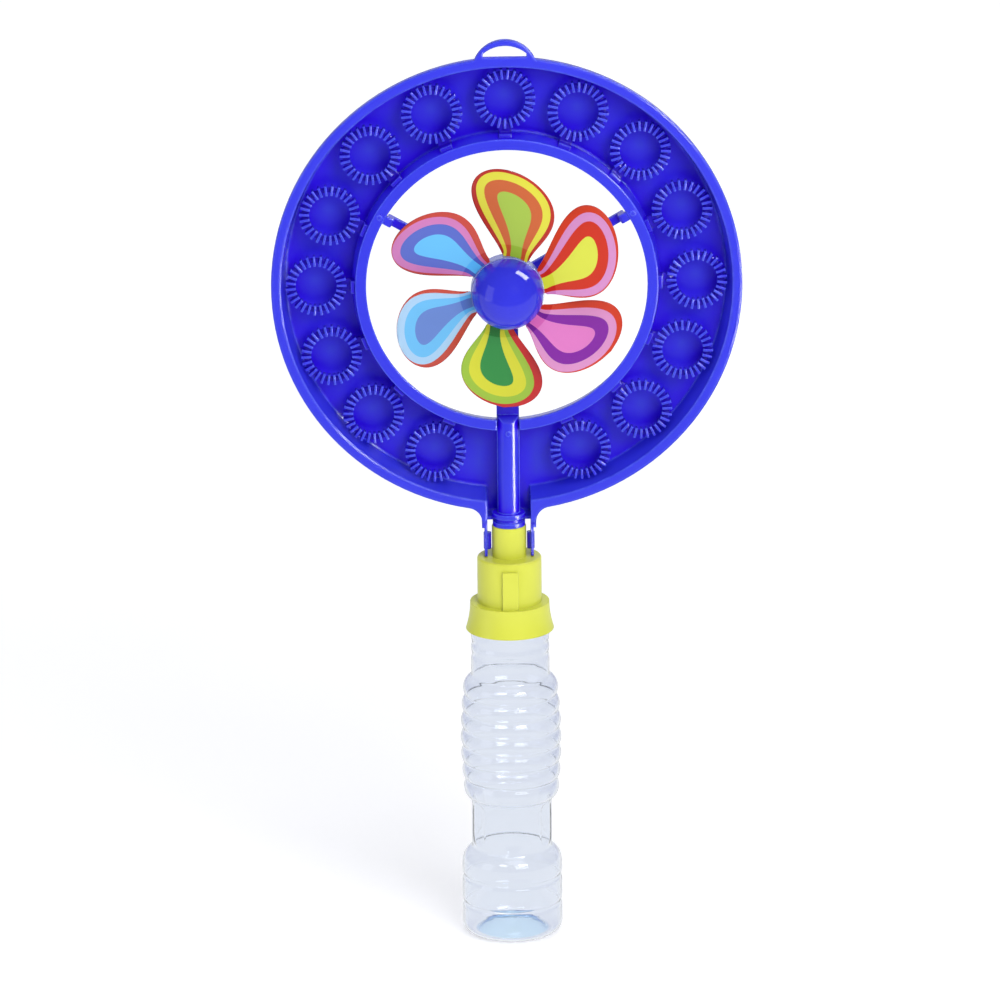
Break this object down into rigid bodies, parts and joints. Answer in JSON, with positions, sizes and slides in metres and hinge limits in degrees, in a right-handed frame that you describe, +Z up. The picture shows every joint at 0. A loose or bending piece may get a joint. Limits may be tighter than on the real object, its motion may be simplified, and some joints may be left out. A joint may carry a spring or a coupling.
{
  "type": "bubble wand",
  "caption": "Hand-held bubble wand: a ring of toothed hoops round a spinning pinwheel, resting in a clip-on dipping tray, on a screw cap and a clear bottle that is the handle.",
  "frame": {"origin": "middle of the bottle's foot, in the plane that it stands on", "axes": "+Z up along the bottle's axis, -Y the way the ring and the pinwheel face, +X to the right in that view"},
  "size_m": [0.2178, 0.0582, 0.4339],
  "materials": {
    "clear_bottle": "clear, blow-moulded, slightly bluish",
    "seal_foam": "soft foam sheet",
    "yellow_plastic": "satin injection moulding",
    "blue_plastic": "glossy injection moulding",
    "dome_blue": "polished injection moulding",
    "clear_plastic": "clear injection moulding",
    "white_plastic": "plain",
    "axle_steel": "drawn wire",
    "petal_film_1": "printed translucent film, striped in bands",
    "petal_film_2": "printed translucent film, striped in bands",
    "petal_film_3": "printed translucent film, striped in bands",
    "petal_film_4": "printed translucent film, striped in bands",
    "petal_film_5": "printed translucent film, striped in bands",
    "petal_film_6": "printed translucent film, striped in bands"
  },
  "bodies": {
    "bottle": {"bottle": "clear_bottle", "bottle_neck": "clear_bottle"},
    "seal": {"cap_seal": "seal_foam"},
    "wand": {"cap": "yellow_plastic", "wand_stem": "blue_plastic", "ring_band": "blue_plastic", "arm_left": "blue_plastic", "arm_right": "blue_plastic", "hub_boss": "blue_plastic", "axle": "axle_steel", "axle_washer": "white_plastic", "axle_clip": "axle_steel", "hoop_1": "blue_plastic", "hoop_2": "blue_plastic", "hoop_3": "blue_plastic", "hoop_4": "blue_plastic", "hoop_5": "blue_plastic", "hoop_6": "blue_plastic", "hoop_7": "blue_plastic", "hoop_8": "blue_plastic", "hoop_9": "blue_plastic", "hoop_10": "blue_plastic", "hoop_11": "blue_plastic", "hoop_12": "blue_plastic", "hoop_13": "blue_plastic", "hoop_14": "blue_plastic", "hoop_15": "blue_plastic"},
    "tray": {"tray": "blue_plastic"},
    "pinwheel": {"hub_drum": "clear_plastic", "hub_dome": "dome_blue", "hub_disc": "clear_plastic", "petal_1": "petal_film_1", "petal_2": "petal_film_2", "petal_3": "petal_film_3", "petal_4": "petal_film_4", "petal_5": "petal_film_5", "petal_6": "petal_film_6"}
  },
  "joints": [
    {"name": "cap_lift", "type": "slide", "parent": "bottle", "child": "seal", "axis": [0, 0, 1], "range_m": [0, 0.0049]},
    {"name": "cap_turn", "type": "hinge", "parent": "seal", "child": "wand", "pos_m": [0, 0, 0.18], "axis": [0, 0, 1], "range_deg": [0, 540]},
    {"name": "tray_pull", "type": "slide", "parent": "wand", "child": "tray", "axis": [0, 1, 0], "range_m": [0, 0.06]},
    {"name": "pinwheel_spin", "type": "hinge", "parent": "wand", "child": "pinwheel", "pos_m": [0, -0.018, 0.3165], "axis": [0, -1, 0], "continuous": true}
  ],
  "couplings": [
    {"joint": "cap_lift", "follows": "cap_turn", "m_per_rad": 0.0005093}
  ]
}
